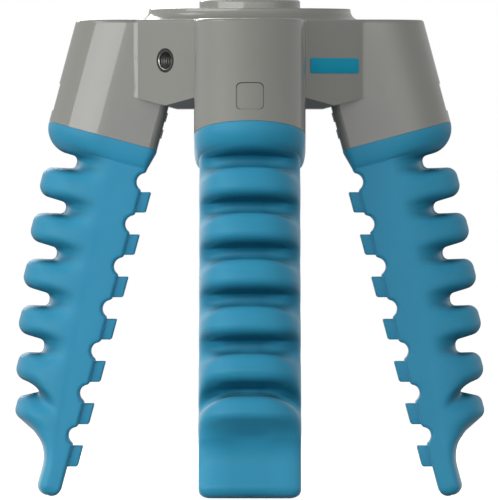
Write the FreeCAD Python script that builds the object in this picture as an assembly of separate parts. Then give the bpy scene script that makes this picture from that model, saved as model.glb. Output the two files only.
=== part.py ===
import FreeCAD, Part
import math
import os

# Four-finger centric gripper with soft fingers that bend under air pressure, in millimetres.
# The origin is the centre of the flange face that meets the robot, +Z points at the robot, and the
# fingers reach down and outwards. The right finger is at +X and the front finger at -Y.
# Holders and fingers are drawn in a finger's own frame: "reach" runs down along the finger from the
# origin, "out" runs away from the gripper's axis, and "across" is the finger's width.

# Flange and pilot, for the 40 mm bolt circle of small robot arms
PILOT_RADIUS = 12.5
PILOT_HEIGHT = 2.2
PILOT_EDGE = 0.6
FLANGE_RADIUS = 25.0
FLANGE_HEIGHT = 2.7
FLANGE_EDGE = 0.3
FLANGE_COVE = 2.4
BOLT_CIRCLE_RADIUS = 20.0
BOLT_COUNT = 4
BOLT_INSERT_RADIUS = 4.0
BOLT_INSERT_LENGTH = 9.0
BOLT_BORE_RADIUS = 2.5
INSERT_FIT = 0.02

# Hub with four flat diagonal walls
WALL_DISTANCE = 29.6
HUB_DEPTH = 24.8
HUB_REACH = 28.65
WALL_FILLET = 1.8
TOP_EDGE = 0.85

# Finger holders
FINGER_NAMES = ("right", "back", "left", "front")
FINGER_TILT = 15.0
HOLDER_INNER = 13.2
HOLDER_OUTER = 40.9
HOLDER_HALF_WIDTH = 13.75
HOLDER_CORNER = 2.0
HOLDER_REACH = 39.8

# Air supply: one duct from the port to the plenum, and one from there to each socket
PORT_DEPTH = 12.9
PORT_INSERT_RADIUS = 3.0
PORT_INSERT_LENGTH = 7.0
PORT_BORE_RADIUS = 2.1
PORT_CHAMFER = 0.45
DUCT_RADIUS = 1.6
DUCT_INSET = 0.5
PLENUM_RADIUS = 5.0
PLENUM_MARGIN = 0.8

# Label on the front right wall
LABEL_LENGTH = 16.9
LABEL_HEIGHT = 3.8
LABEL_CORNER = 0.7
LABEL_THICKNESS = 0.4
LABEL_PROUD = 0.2
LABEL_DEPTH = 14.2

# Finger plug in its socket
SOCKET_DEPTH = 17.3
SOCKET_WALL = 4.3
PLUG_HEADROOM = 2.5
PLUG_FIT = 0.15
PLUG_BORE_RADIUS = 1.4
PLUG_BORE_INSET = 3.1
BARB_HEIGHT = 1.3
BARB_START = 1.4
BARB_LENGTH = 2.0
PLUG_TOE_STEP = 0.3
PLUG_TOE_LENGTH = 1.0
SEAL_START = 2.5
SEAL_RADIUS = 0.85
SEAL_FIT = 0.02

# Locking key: a head in the holder's outer face and two legs right through to its inner face
KEY_FOOT = 3.0
KEY_SIZE = 6.6
KEY_CORNER = 1.2
KEY_RECESS = 0.25
KEY_HEAD_THICKNESS = 2.4
KEY_LEG_WIDTH = 6.0
KEY_LEG_HEIGHT = 2.3
KEY_END = 0.3
KEY_FIT = 0.12

# Soft finger: its starts are measured down from its own top, its insets from the holder's faces
SEAT_GAP = 0.1
COLLAR_LENGTH = 6.4
COLLAR_TAPER_START = 1.1
FINGER_INNER_INSET = 1.2
FINGER_SIDE_INSET = 1.35
FINGER_CORNER = 5.0
FINGER_INNER_EDGE = 1.0
VALLEY_INSET = 9.25
VALLEY_SLOPE = 0.2
VALLEY_BEND_PLACE = 0.466
VALLEY_BEND_SPAN = 0.81

# Lobes on the finger's outer side; the last two lean towards each other
LOBE_COUNT = 6
LOBE_START = 10.3
LOBE_PITCH = 11.45
LOBE_BULGE = 0.15
LOBE_LENGTH = 7.85
LOBE_UPPER_SLOPE = 13.0
LOBE_LOWER_SLOPE = 2.0
LOBE_UPPER_ROUND = 2.6
LOBE_LOWER_ROUND = 3.0
LOBE_MIDDLE = 8.7
LEANING_LOWER_SLOPE = 12.0
LAST_LOBE_STEP = 9.9
LAST_LOBE_LENGTH = 7.4
LAST_LOBE_UPPER_SLOPE = 34.0
LAST_LOBE_LOWER_SLOPE = 27.0
LAST_LOBE_ROUND = 2.0
LAST_LOBE_MIDDLE = 10.0
CREST_INSET = 1.65
CREST_START = 5.4
CREST_BEND_RADIUS = 238.0

# Flat fingertip; its rounds are shares of its thickness
BLADE_GAP = 2.3
BLADE_LENGTH = 13.8
BLADE_SLOPE_LENGTH = 3.9
BLADE_THICKNESS = 5.85
BLADE_COVE = 7.0
BLADE_EDGE_SHARE = 0.34
TIP_ROUND_SHARE = 0.41

# Grip pads and the notches above them
PAD_COUNT = 7
PAD_START = 11.0
PAD_FOOT = 8.1
PAD_LENGTH = 5.25
PAD_HEIGHT = 2.5
PAD_SIDE_INSET = 1.1
PAD_EDGE = 0.4
NOTCH_ABOVE_PAD = 2.6
NOTCH_RADIUS = 2.25
NOTCH_DEPTH = 2.0

# Air chamber in the finger
CHAMBER_FLOOR = 3.4
CHAMBER_WALL = 2.2
CHAMBER_FOOT = 3.6

Vector = FreeCAD.Vector
Z_AXIS = Vector(0, 0, 1)
TILT = math.radians(FINGER_TILT)
HOLDER_AXIS = HOLDER_OUTER - HOLDER_HALF_WIDTH
SOCKET_REACH = HOLDER_REACH - SOCKET_DEPTH
SOCKET_RADIUS = HOLDER_HALF_WIDTH - SOCKET_WALL
PLUG_REACH = SOCKET_REACH + PLUG_HEADROOM
PLUG_RADIUS = SOCKET_RADIUS - PLUG_FIT
SEAL_REACH = PLUG_REACH + SEAL_START
KEY_REACH = HOLDER_REACH - KEY_FOOT - KEY_SIZE
FINGER_REACH = HOLDER_REACH + SEAT_GAP
FINGER_INNER = HOLDER_INNER + FINGER_INNER_INSET
FINGER_HALF_WIDTH = HOLDER_HALF_WIDTH - FINGER_SIDE_INSET
LOBE_RADIUS = FINGER_HALF_WIDTH + LOBE_BULGE
LAST_LOBE_REACH = FINGER_REACH + LOBE_START + (LOBE_COUNT - 2) * LOBE_PITCH + LAST_LOBE_STEP
BLADE_START = LAST_LOBE_REACH + LAST_LOBE_LENGTH + BLADE_GAP
BLADE_OUTER = FINGER_INNER + BLADE_THICKNESS
TIP_REACH = BLADE_START + BLADE_LENGTH
VALLEY_OUTER = HOLDER_OUTER - VALLEY_INSET
VALLEY_BEND_REACH = FINGER_REACH + VALLEY_BEND_PLACE * (BLADE_START - FINGER_REACH)
PAD_REACH = FINGER_REACH + PAD_START
PAD_PITCH = (TIP_REACH - PAD_FOOT - PAD_LENGTH - PAD_REACH) / (PAD_COUNT - 1)
CHAMBER_INNER = FINGER_INNER + CHAMBER_FLOOR
CHAMBER_END = BLADE_START - CHAMBER_FOOT
BEYOND = 2.0 * TIP_REACH
PORT_DIRECTION = Vector(-1, -1, 0).normalize()
LABEL_DIRECTION = Vector(1, -1, 0).normalize()


def in_finger(out, across, reach):
    return Vector(out, across, -reach)


def side_view(out, reach):
    return in_finger(out, 0, reach)


def upright(radius, height):
    return Vector(radius, 0, height)


def rounded_face(corners, place):
    """A flat face with corners (a, b, radius), each put into space by place(a, b)."""
    flat = [Vector(a, b, 0) for a, b, radius in corners]
    points = []
    for number, corner in enumerate(flat):
        radius = corners[number][2]
        back = (flat[number - 1] - corner).normalize()
        ahead = (flat[(number + 1) % len(flat)] - corner).normalize()
        half_angle = back.getAngle(ahead) / 2
        inward = (back + ahead).normalize()
        centre = corner + inward * (radius / math.sin(half_angle))
        reach = radius / math.tan(half_angle)
        points.append((corner + back * reach, centre - inward * radius, corner + ahead * reach))
    edges = []
    for number, (start, middle, end) in enumerate(points):
        previous_end = points[number - 1][2]
        if previous_end.distanceToPoint(start) > 1e-6:
            edges.append(Part.LineSegment(place(*previous_end[:2]), place(*start[:2])).toShape())
        if corners[number][2] > 0:
            edges.append(Part.Arc(place(*start[:2]), place(*middle[:2]), place(*end[:2])).toShape())
    return Part.Face(Part.Wire(edges))


def across_finger(corners, half_width):
    """A solid with a side view of (out, reach, radius) corners, centred on the finger's width."""
    face = rounded_face(corners, side_view)
    face.translate(Vector(0, -half_width, 0))
    return face.extrude(Vector(0, 2 * half_width, 0))


def along_finger(corners, start, end):
    """A solid with a section of (out, across, radius) corners, from one reach to another."""
    face = rounded_face(corners, lambda out, across: in_finger(out, across, start))
    return face.extrude(in_finger(0, 0, end - start))


def round_bar(radius, start, end):
    return Part.makeCylinder(radius, start.distanceToPoint(end), start, end - start)


def socket_bar(radius, start, end, across=0.0):
    """A round bar along the holder's axis, from one reach to another."""
    return round_bar(radius, in_finger(HOLDER_AXIS, across, start), in_finger(HOLDER_AXIS, across, end))


def on_finger(shape, number):
    """A copy of a shape drawn in a finger's frame, put at the numbered finger."""
    placed = shape.copy()
    placed.rotate(Vector(), Vector(0, 1, 0), -FINGER_TILT)
    placed.rotate(Vector(), Z_AXIS, number * 360.0 / len(FINGER_NAMES))
    return placed


def level_edges(shape, height):
    return [
        edge for edge in shape.Edges
        if max(abs(edge.BoundBox.ZMin - height), abs(edge.BoundBox.ZMax - height)) < 1e-3
    ]


def holder_section(inset):
    """The D-shaped section of a holder: flat towards the gripper's axis and round outside."""
    inner = HOLDER_INNER + inset
    outer = HOLDER_OUTER - inset
    half_width = HOLDER_HALF_WIDTH - inset
    return [
        (inner, -half_width, HOLDER_CORNER),
        (outer, -half_width, half_width),
        (outer, half_width, half_width),
        (inner, half_width, HOLDER_CORNER),
    ]


def key_outline(margin):
    """The key's head seen from outside, as (across, reach, radius) corners."""
    half = KEY_SIZE / 2 + margin
    top = KEY_REACH - margin
    bottom = KEY_REACH + KEY_SIZE + margin
    return [
        (-half, top, KEY_CORNER),
        (half, top, KEY_CORNER),
        (half, bottom, KEY_CORNER),
        (-half, bottom, KEY_CORNER),
    ]


def key_head(margin, start, end):
    face = rounded_face(key_outline(margin), lambda across, reach: in_finger(start, across, reach))
    return face.extrude(Vector(end - start, 0, 0))


def key_legs(margin, start, end):
    """Two flat legs in line with the head's upper and lower edges."""
    width = KEY_LEG_WIDTH + 2 * margin
    height = KEY_LEG_HEIGHT + 2 * margin
    legs = []
    for bottom in (KEY_REACH + KEY_LEG_HEIGHT, KEY_REACH + KEY_SIZE):
        corner = in_finger(start, -width / 2, bottom + margin)
        legs.append(Part.makeBox(end - start, width, height, corner))
    return legs


def bolt_places():
    for number in range(BOLT_COUNT):
        angle = math.radians((number + 0.5) * 360.0 / BOLT_COUNT)
        yield Vector(BOLT_CIRCLE_RADIUS * math.cos(angle), BOLT_CIRCLE_RADIUS * math.sin(angle), 0)


def wall_point(direction, depth, distance):
    """A point on the line that leaves the axis towards a diagonal wall, at a depth below the flange."""
    return direction * distance - Z_AXIS * depth


def make_label_plate():
    """The plain label, let into its wall and a little proud of it."""
    half_length = LABEL_LENGTH / 2
    half_height = LABEL_HEIGHT / 2
    along = Z_AXIS.cross(LABEL_DIRECTION)
    centre = wall_point(LABEL_DIRECTION, LABEL_DEPTH, WALL_DISTANCE + LABEL_PROUD)
    corners = [
        (-half_length, -half_height, LABEL_CORNER),
        (half_length, -half_height, LABEL_CORNER),
        (half_length, half_height, LABEL_CORNER),
        (-half_length, half_height, LABEL_CORNER),
    ]
    face = rounded_face(corners, lambda a, b: centre + along * a + Z_AXIS * b)
    return face.extrude(LABEL_DIRECTION * -LABEL_THICKNESS)


def make_flange():
    """Pilot boss and flange disc, turned in one, with a cove down to the hub's top."""
    foot = FLANGE_RADIUS + FLANGE_COVE
    root = -FLANGE_HEIGHT - TOP_EDGE
    corners = [
        (0, PILOT_HEIGHT, 0),
        (PILOT_RADIUS, PILOT_HEIGHT, PILOT_EDGE),
        (PILOT_RADIUS, 0, 0),
        (FLANGE_RADIUS, 0, FLANGE_EDGE),
        (FLANGE_RADIUS, -FLANGE_HEIGHT, min(FLANGE_COVE, FLANGE_HEIGHT - FLANGE_EDGE)),
        (foot, -FLANGE_HEIGHT, 0),
        (foot, root, 0),
        (0, root, 0),
    ]
    return rounded_face(corners, upright).revolve(Vector(), Z_AXIS, 360)


def make_hub():
    """The block between the holders, cut square to each finger underneath."""
    corner = WALL_DISTANCE * math.sqrt(2)
    corners = [(corner, 0, 0), (0, corner, 0), (-corner, 0, 0), (0, -corner, 0)]
    hub = rounded_face(corners, lambda x, y: Vector(x, y, -FLANGE_HEIGHT))
    hub = hub.extrude(Vector(0, 0, FLANGE_HEIGHT - HUB_DEPTH))
    above = Part.makeBox(2 * BEYOND, 2 * BEYOND, BEYOND, Vector(-BEYOND, -BEYOND, -HUB_REACH))
    for number in range(len(FINGER_NAMES)):
        hub = hub.common(on_finger(above, number))
    return hub


def wall_corner_edges(shape):
    """The upright inner corners where the diagonal walls meet the holders' sides."""
    found = []
    for edge in shape.Edges:
        box = edge.BoundBox
        x, y = abs(box.Center.x), abs(box.Center.y)
        on_side = abs(min(x, y) - HOLDER_HALF_WIDTH) < 1e-3
        on_wall = abs(x + y - WALL_DISTANCE * math.sqrt(2)) < 1e-3
        if on_side and on_wall and box.XLength < 1e-3 and box.YLength < 1e-3:
            found.append(edge)
    return found


def make_gripper_body():
    body = make_hub()
    corner = Vector(-BEYOND, -BEYOND, -BEYOND - FLANGE_HEIGHT)
    below_top = Part.makeBox(2 * BEYOND, 2 * BEYOND, BEYOND, corner)
    holder = along_finger(holder_section(0), 0, HOLDER_REACH)
    for number in range(len(FINGER_NAMES)):
        body = body.fuse(on_finger(holder, number).common(below_top))
    body = body.removeSplitter()
    body = body.makeFillet(WALL_FILLET, wall_corner_edges(body))
    body = body.makeFillet(TOP_EDGE, level_edges(body, -FLANGE_HEIGHT))
    body = body.fuse(make_flange())
    tilt = FreeCAD.Rotation(Vector(0, 1, 0), -FINGER_TILT)
    duct_end = tilt.multVec(in_finger(HOLDER_AXIS - SOCKET_RADIUS / 2, 0, SOCKET_REACH + DUCT_INSET))
    duct_start = Vector(0, 0, duct_end.z)
    plenum_top = Vector(0, 0, DUCT_RADIUS + PLENUM_MARGIN - PORT_DEPTH)
    hollows = [round_bar(PLENUM_RADIUS, plenum_top, duct_start - Z_AXIS * (DUCT_RADIUS + PLENUM_MARGIN))]
    for place in bolt_places():
        end = place - Z_AXIS * BOLT_INSERT_LENGTH
        hollows.append(round_bar(BOLT_INSERT_RADIUS + INSERT_FIT, place, end))
    mouth = wall_point(PORT_DIRECTION, PORT_DEPTH, WALL_DISTANCE)
    end = mouth - PORT_DIRECTION * PORT_INSERT_LENGTH
    hollows.append(round_bar(PORT_INSERT_RADIUS + INSERT_FIT, mouth, end))
    hollows.append(round_bar(DUCT_RADIUS, mouth, wall_point(PORT_DIRECTION, PORT_DEPTH, 0)))
    hollows.append(make_label_plate())
    finger_hollows = [
        socket_bar(SOCKET_RADIUS, SOCKET_REACH, HOLDER_REACH),
        key_head(KEY_FIT, HOLDER_OUTER - KEY_RECESS - KEY_HEAD_THICKNESS, HOLDER_OUTER + KEY_END),
    ]
    finger_hollows += key_legs(KEY_FIT, HOLDER_INNER - KEY_END, HOLDER_OUTER - KEY_HEAD_THICKNESS)
    for number in range(len(FINGER_NAMES)):
        hollows += [on_finger(hollow, number) for hollow in finger_hollows]
        duct = round_bar(DUCT_RADIUS, duct_start, duct_end)
        duct.rotate(Vector(), Z_AXIS, number * 360.0 / len(FINGER_NAMES))
        hollows.append(duct)
    return body.cut(hollows).removeSplitter()


def make_flange_inserts():
    inserts = []
    for place in bolt_places():
        end = place - Z_AXIS * BOLT_INSERT_LENGTH
        insert = round_bar(BOLT_INSERT_RADIUS, place, end)
        inserts.append(insert.cut(round_bar(BOLT_BORE_RADIUS, place, end)))
    return Part.makeCompound(inserts)


def make_air_port_insert():
    """A turned bush with a chamfered bore, flush with its wall."""
    mouth = wall_point(PORT_DIRECTION, PORT_DEPTH, WALL_DISTANCE)
    end = mouth - PORT_DIRECTION * PORT_INSERT_LENGTH
    bush = round_bar(PORT_INSERT_RADIUS, end, mouth).cut(round_bar(PORT_BORE_RADIUS, end, mouth))
    chamfer = Part.makeCone(
        PORT_BORE_RADIUS + PORT_CHAMFER, PORT_BORE_RADIUS, PORT_CHAMFER, mouth, PORT_DIRECTION * -1
    )
    return bush.cut(chamfer)


def plug_steps(margin):
    """The plug's turned outline below the holder, as bars: neck, barb and toe."""
    barb_start = FINGER_REACH + BARB_START
    barb_end = barb_start + BARB_LENGTH
    toe_end = barb_end + PLUG_TOE_LENGTH
    return [
        socket_bar(PLUG_RADIUS + margin, HOLDER_REACH, barb_start),
        socket_bar(PLUG_RADIUS + BARB_HEIGHT + margin, barb_start - margin, barb_end + margin),
        socket_bar(PLUG_RADIUS - PLUG_TOE_STEP + margin, barb_end, toe_end + margin),
    ]


def make_finger_plug():
    toe_end = FINGER_REACH + BARB_START + BARB_LENGTH + PLUG_TOE_LENGTH
    plug = socket_bar(PLUG_RADIUS, PLUG_REACH, HOLDER_REACH).multiFuse(plug_steps(0)).removeSplitter()
    groove_depth = 2 * SEAL_RADIUS + SEAL_FIT
    groove_start = SEAL_REACH - SEAL_RADIUS - SEAL_FIT
    groove_end = SEAL_REACH + SEAL_RADIUS + SEAL_FIT
    ring = socket_bar(SOCKET_RADIUS, groove_start, groove_end)
    ring = ring.cut(socket_bar(SOCKET_RADIUS - SEAL_FIT - groove_depth, groove_start, groove_end))
    hollows = [ring] + key_legs(KEY_FIT, HOLDER_INNER, HOLDER_OUTER)
    for side in (-1, 1):
        across = side * (PLUG_RADIUS - PLUG_BORE_INSET)
        hollows.append(socket_bar(PLUG_BORE_RADIUS, PLUG_REACH, toe_end, across))
    return plug.cut(hollows)


def make_plug_seal():
    centre = in_finger(HOLDER_AXIS, 0, SEAL_REACH)
    return Part.makeTorus(SOCKET_RADIUS - SEAL_FIT - SEAL_RADIUS, SEAL_RADIUS, centre, Z_AXIS)


def make_finger_key():
    head_outer = HOLDER_OUTER - KEY_RECESS
    head_inner = head_outer - KEY_HEAD_THICKNESS
    head = key_head(0, head_inner, head_outer)
    head = head.common(socket_bar(HOLDER_HALF_WIDTH - KEY_RECESS, KEY_REACH, KEY_REACH + KEY_SIZE))
    return head.multiFuse(key_legs(0, HOLDER_INNER - KEY_END, head_inner)).removeSplitter()


def crest_at(reach):
    """How far out the lobes' crests lie: an arc that bends inwards along the finger."""
    past = reach - FINGER_REACH - CREST_START
    return HOLDER_OUTER - CREST_INSET - past ** 2 / (2 * CREST_BEND_RADIUS)


def make_lobe(number, wall):
    """Half a bullnosed disc on the finger's outer side, or its air chamber where a wall is given."""
    if number < LOBE_COUNT - 1:
        upper = FINGER_REACH + LOBE_START + number * LOBE_PITCH
        lower = upper + LOBE_LENGTH
        middle = LOBE_MIDDLE
        leaning = number == LOBE_COUNT - 2
        slopes = (LOBE_UPPER_SLOPE, LEANING_LOWER_SLOPE if leaning else LOBE_LOWER_SLOPE)
        rounds = (LOBE_UPPER_ROUND, LOBE_LOWER_ROUND)
    else:
        upper = LAST_LOBE_REACH
        lower = upper + LAST_LOBE_LENGTH
        middle = LAST_LOBE_MIDDLE
        slopes = (LAST_LOBE_UPPER_SLOPE, LAST_LOBE_LOWER_SLOPE)
        rounds = (LAST_LOBE_ROUND, LAST_LOBE_ROUND)
    upper_slope, lower_slope = (math.tan(math.radians(slope)) for slope in slopes)
    axis = crest_at((upper + lower) / 2) - LOBE_RADIUS
    radius = LOBE_RADIUS - wall
    upper_round, lower_round = (0, 0) if wall else rounds
    corners = [
        (axis, upper + wall - middle * upper_slope, 0),
        (axis + radius, upper + wall + (radius - middle) * upper_slope, upper_round),
        (axis + radius, lower - wall - (radius - middle) * lower_slope, lower_round),
        (axis, lower - wall + middle * lower_slope, 0),
    ]
    face = rounded_face(corners, side_view)
    face.rotate(in_finger(axis, 0, 0), Z_AXIS, -90)
    return face.revolve(in_finger(axis, 0, 0), Z_AXIS, 180)


def valley_at(reach):
    """The line of the valleys between lobes, below its bend."""
    return VALLEY_OUTER - VALLEY_SLOPE * (reach - VALLEY_BEND_REACH)


def make_core():
    """The finger's body below the lobes, from the collar to the blade."""
    span = VALLEY_BEND_SPAN * (VALLEY_BEND_REACH - FINGER_REACH)
    bend_radius = span / math.tan(math.atan(VALLEY_SLOPE) / 2)
    corners = [
        (VALLEY_OUTER, FINGER_REACH, 0),
        (VALLEY_OUTER, VALLEY_BEND_REACH, bend_radius),
        (valley_at(BLADE_START), BLADE_START, 0),
        (FINGER_INNER, BLADE_START, 0),
        (FINGER_INNER, FINGER_REACH, 0),
    ]
    core = across_finger(corners, FINGER_HALF_WIDTH)
    outer_edges = []
    for edge in core.Edges:
        box = edge.BoundBox
        if box.YLength < 1e-3 and box.ZLength > 1e-3 and box.XMax > FINGER_INNER + 1e-3:
            outer_edges.append(edge)
    return core.makeFillet(FINGER_CORNER, outer_edges).cut(inner_edge_cuts())


def inner_edge_cuts():
    """What is cut away to round the two long edges of the finger's inner face."""
    cuts = []
    for side in (-1, 1):
        edge = side * FINGER_HALF_WIDTH
        inset = side * (FINGER_HALF_WIDTH - FINGER_INNER_EDGE)
        corner = along_finger(
            [
                (FINGER_INNER, edge, 0),
                (FINGER_INNER, inset, 0),
                (FINGER_INNER + FINGER_INNER_EDGE, inset, 0),
                (FINGER_INNER + FINGER_INNER_EDGE, edge, 0),
            ],
            FINGER_REACH,
            BLADE_START,
        )
        start = in_finger(FINGER_INNER + FINGER_INNER_EDGE, inset, FINGER_REACH)
        end = in_finger(FINGER_INNER + FINGER_INNER_EDGE, inset, BLADE_START)
        cuts.append(corner.cut(round_bar(FINGER_INNER_EDGE, start, end)))
    return cuts


def make_blade():
    """The flat fingertip."""
    tip_radius = TIP_ROUND_SHARE * BLADE_THICKNESS
    corners = [
        (valley_at(BLADE_START), BLADE_START, 0),
        (BLADE_OUTER, BLADE_START + BLADE_SLOPE_LENGTH, BLADE_COVE),
        (BLADE_OUTER, TIP_REACH, tip_radius),
        (FINGER_INNER, TIP_REACH, tip_radius),
        (FINGER_INNER, BLADE_START, 0),
    ]
    blade = across_finger(corners, FINGER_HALF_WIDTH)
    rims = []
    for edge in blade.Edges:
        box = edge.BoundBox
        if box.YLength < 1e-3 and box.ZLength > 1e-3:
            rims.append(edge)
    return blade.makeFillet(BLADE_EDGE_SHARE * BLADE_THICKNESS, rims)


def make_collar():
    """The finger's thick top, flush with the holder above and rounded like a bowl below."""
    bottom = FINGER_REACH + COLLAR_LENGTH
    bowl = [
        (HOLDER_AXIS, FINGER_REACH, 0),
        (HOLDER_OUTER, FINGER_REACH, 0),
        (HOLDER_OUTER, bottom, COLLAR_LENGTH),
        (HOLDER_AXIS, bottom, 0),
    ]
    face = rounded_face(bowl, side_view)
    face.rotate(in_finger(HOLDER_AXIS, 0, 0), Z_AXIS, -90)
    collar = face.revolve(in_finger(HOLDER_AXIS, 0, 0), Z_AXIS, 180)
    front = [
        (-HOLDER_HALF_WIDTH, FINGER_REACH, 0),
        (HOLDER_HALF_WIDTH, FINGER_REACH, 0),
        (HOLDER_HALF_WIDTH, bottom, COLLAR_LENGTH),
        (-HOLDER_HALF_WIDTH, bottom, COLLAR_LENGTH),
    ]
    inner = rounded_face(front, lambda across, reach: in_finger(HOLDER_INNER, across, reach))
    collar = collar.fuse(inner.extrude(Vector(HOLDER_AXIS - HOLDER_INNER, 0, 0)))
    collar = collar.common(along_finger(holder_section(0), FINGER_REACH, bottom))
    taper = [
        (HOLDER_INNER, FINGER_REACH + COLLAR_TAPER_START, 0),
        (FINGER_INNER, bottom, 0),
        (HOLDER_INNER, bottom, 0),
    ]
    return collar.cut(across_finger(taper, HOLDER_HALF_WIDTH)).removeSplitter()


def make_pads():
    """Grip pads whose upper and lower faces are level when the gripper stands upright."""
    pads = []
    face = FINGER_INNER - PAD_HEIGHT
    root = FINGER_INNER + FINGER_INNER_EDGE
    rise = PAD_HEIGHT * math.tan(TILT)
    sink = FINGER_INNER_EDGE * math.tan(TILT)
    for number in range(PAD_COUNT):
        top = PAD_REACH + number * PAD_PITCH
        bottom = top + PAD_LENGTH
        corners = [
            (face, top - rise, PAD_EDGE),
            (face, bottom - rise, PAD_EDGE),
            (root, bottom + sink, 0),
            (root, top + sink, 0),
        ]
        pads.append(across_finger(corners, FINGER_HALF_WIDTH - PAD_SIDE_INSET))
    return pads


def make_notches():
    notches = []
    half_width = FINGER_HALF_WIDTH + FINGER_INNER_EDGE
    for number in range(PAD_COUNT):
        reach = PAD_REACH - NOTCH_ABOVE_PAD + number * PAD_PITCH
        start = in_finger(FINGER_INNER + NOTCH_DEPTH - NOTCH_RADIUS, -half_width, reach)
        notches.append(round_bar(NOTCH_RADIUS, start, start + Vector(0, 2 * half_width, 0)))
    return notches


def make_chamber():
    """The hollow that the air fills: a channel along the finger with a pocket in each lobe."""
    top = FINGER_REACH + BARB_START + BARB_LENGTH
    half_width = FINGER_HALF_WIDTH - CHAMBER_WALL
    corners = [
        (CHAMBER_INNER, top, 0),
        (VALLEY_OUTER - CHAMBER_WALL, top, 0),
        (VALLEY_OUTER - CHAMBER_WALL, VALLEY_BEND_REACH, 0),
        (valley_at(CHAMBER_END) - CHAMBER_WALL, CHAMBER_END, 0),
        (CHAMBER_INNER, CHAMBER_END, 0),
    ]
    channel = across_finger(corners, half_width)
    return [channel] + [make_lobe(number, CHAMBER_WALL) for number in range(LOBE_COUNT)]


def make_finger():
    lobes = [make_lobe(number, 0) for number in range(LOBE_COUNT)]
    finger = make_core().multiFuse([make_blade(), make_collar()] + lobes + make_pads())
    finger = finger.cut(make_notches() + plug_steps(PLUG_FIT) + make_chamber())
    return finger.removeSplitter()


nodes = {
    "gripper_body": make_gripper_body(),
    "flange_inserts": make_flange_inserts(),
    "air_port_insert": make_air_port_insert(),
    "label_plate": make_label_plate(),
}
finger_pieces = {
    "finger": make_finger(),
    "finger_plug": make_finger_plug(),
    "plug_seal": make_plug_seal(),
    "finger_key": make_finger_key(),
}
for number, finger_name in enumerate(FINGER_NAMES):
    for piece_name, piece in finger_pieces.items():
        nodes[piece_name + "_" + finger_name] = on_finger(piece, number)

os.makedirs("parts", exist_ok=True)
for node_name, shape in nodes.items():
    shape.exportStep(os.path.join("parts", node_name + ".step"))
    print(node_name, len(shape.Solids), "solids, valid", shape.isValid(), round(shape.Volume, 1), "mm3")
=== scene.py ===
"""The looks of a soft four-finger gripper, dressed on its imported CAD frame."""
import math

import bmesh
import bpy
import numpy as np
from mathutils import Matrix, Vector


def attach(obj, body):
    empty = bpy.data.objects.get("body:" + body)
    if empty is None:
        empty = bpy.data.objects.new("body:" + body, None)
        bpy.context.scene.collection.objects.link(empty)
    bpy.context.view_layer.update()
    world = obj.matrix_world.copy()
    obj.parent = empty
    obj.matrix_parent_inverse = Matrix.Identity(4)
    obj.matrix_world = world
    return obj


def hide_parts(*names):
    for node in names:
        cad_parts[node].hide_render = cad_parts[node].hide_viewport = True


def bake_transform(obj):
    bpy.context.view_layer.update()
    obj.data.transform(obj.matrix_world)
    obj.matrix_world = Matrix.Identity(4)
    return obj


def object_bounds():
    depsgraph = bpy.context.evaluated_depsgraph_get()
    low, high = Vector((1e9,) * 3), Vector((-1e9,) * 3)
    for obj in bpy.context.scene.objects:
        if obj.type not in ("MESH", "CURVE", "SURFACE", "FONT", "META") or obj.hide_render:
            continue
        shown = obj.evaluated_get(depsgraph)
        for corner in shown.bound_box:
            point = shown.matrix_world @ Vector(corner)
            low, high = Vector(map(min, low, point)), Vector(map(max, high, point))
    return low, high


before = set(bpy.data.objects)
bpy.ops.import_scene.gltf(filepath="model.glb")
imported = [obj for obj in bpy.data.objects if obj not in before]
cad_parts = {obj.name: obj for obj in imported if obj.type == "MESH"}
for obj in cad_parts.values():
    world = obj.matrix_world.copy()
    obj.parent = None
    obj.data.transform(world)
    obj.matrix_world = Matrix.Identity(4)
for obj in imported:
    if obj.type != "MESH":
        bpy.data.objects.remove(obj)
cad_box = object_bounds()


# Gripper body: one piece of grey plastic, printed and dyed, with the flange, the hub and the four
# finger holders. Its skin is semi-gloss over a fine powder grain.
MM = 0.001
DARK_GREY = (0.232, 0.231, 0.208)
LIGHT_GREY = (0.276, 0.275, 0.250)
POWDER_GRAIN, POWDER_DEPTH, DYE_CLOUD = 0.22, 0.012, 20.0


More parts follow.
